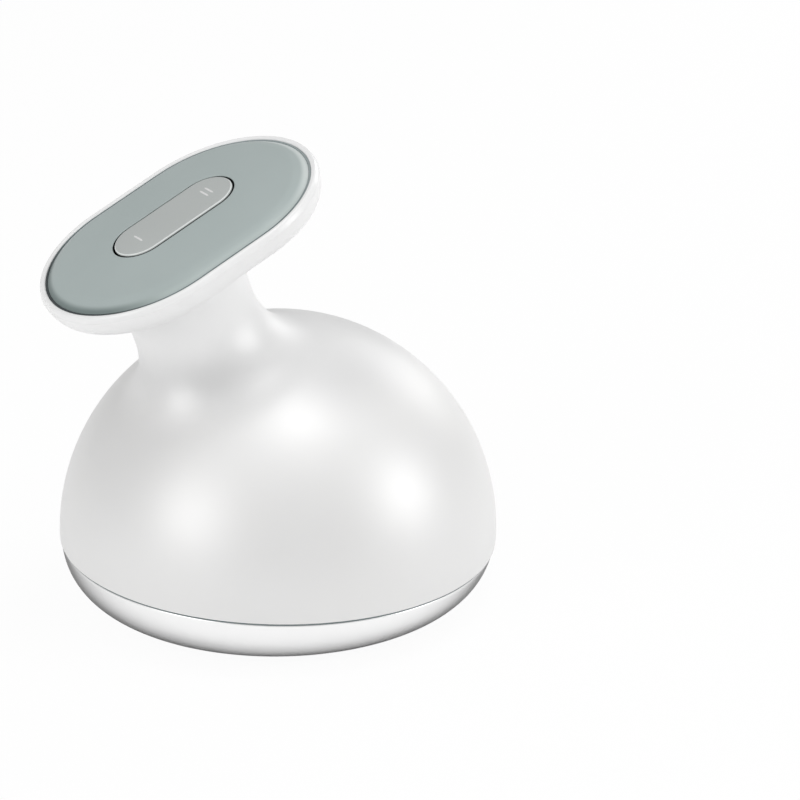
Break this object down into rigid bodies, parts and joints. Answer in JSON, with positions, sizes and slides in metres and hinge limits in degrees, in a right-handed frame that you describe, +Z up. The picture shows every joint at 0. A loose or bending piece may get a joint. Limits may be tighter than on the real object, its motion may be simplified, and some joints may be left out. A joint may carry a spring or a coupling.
{
  "type": "facial toning device",
  "caption": "Handheld facial toning device: domed body on a ring-electrode base, waisted neck and a tilted oval head with a two-ended rocker key.",
  "frame": {"origin": "centre of the flat centre disc, on the plane of the electrode faces that the device rests on", "axes": "+Z up out of the dome, -X to the front over which the head leans, XZ the mirror plane"},
  "size_m": [0.1031, 0.098, 0.1033],
  "materials": {
    "shell_white": "pearl gloss",
    "frame_white": "gloss",
    "panel_grey": "satin",
    "key_grey": "satin",
    "bezel_silver": "pearl silver gloss",
    "plate_teal": "gloss",
    "light_teal": "ribbed, translucent",
    "electrode_chrome": "polished",
    "disc_metal": "satin",
    "seal_rubber": "matte",
    "bracket_black": "matte",
    "pin_steel": "ground",
    "board_green": "solder mask",
    "screw_steel": "zinc",
    "ceramic": "plated",
    "coil_copper": "enamelled wire",
    "cell_blue": "sleeved",
    "wire_red": "insulation",
    "led_lens": "clear dome"
  },
  "bodies": {
    "device": {"main_shell": "shell_white", "head_frame": "frame_white", "panel_seal": "seal_rubber", "top_panel": "panel_grey", "key_carrier": "bracket_black", "pivot_pin": "pin_steel", "key_board": "board_green", "front_switch": "bracket_black", "rear_switch": "bracket_black", "key_screws": "screw_steel", "key_harness": "wire_red", "bezel_ring": "bezel_silver", "case_seal": "seal_rubber", "case_screws": "screw_steel", "electrode_plate": "plate_teal", "light_ring": "light_teal", "outer_electrode": "electrode_chrome", "inner_electrode": "electrode_chrome", "centre_disc": "disc_metal", "disc_gasket": "seal_rubber", "piezo_disc": "ceramic", "disc_clamp": "bracket_black", "clamp_screws": "screw_steel", "led_board": "board_green", "leds": "led_lens", "electrode_contacts": "pin_steel", "main_board": "board_green", "board_chips": "bracket_black", "drive_coil": "coil_copper", "buzzer": "bracket_black", "board_screws": "screw_steel", "charge_port": "pin_steel", "battery_tray": "bracket_black", "battery": "cell_blue", "battery_leads": "wire_red", "disc_leads": "wire_red"},
    "key": {"rocker_key": "key_grey"},
    "front_plunger": {"front_plunger": "pin_steel"},
    "rear_plunger": {"rear_plunger": "pin_steel"}
  },
  "joints": [
    {"name": "rocker", "type": "hinge", "parent": "device", "child": "key", "pos_m": [-0.024, 0, 0.08944], "axis": [0, 1, 0], "range_deg": [-2.3, 2.3], "stiffness_Nm_per_rad": 0.4},
    {"name": "front_plunger_slide", "type": "slide", "parent": "device", "child": "front_plunger", "axis": [-0.4083, 0, 0.9128], "range_m": [-0.00042, 0.00042]},
    {"name": "rear_plunger_slide", "type": "slide", "parent": "device", "child": "rear_plunger", "axis": [-0.4083, 0, 0.9128], "range_m": [-0.00042, 0.00042]}
  ],
  "couplings": [
    {"joint": "front_plunger_slide", "follows": "rocker", "m_per_rad": 0.01},
    {"joint": "rear_plunger_slide", "follows": "rocker", "m_per_rad": -0.01}
  ]
}
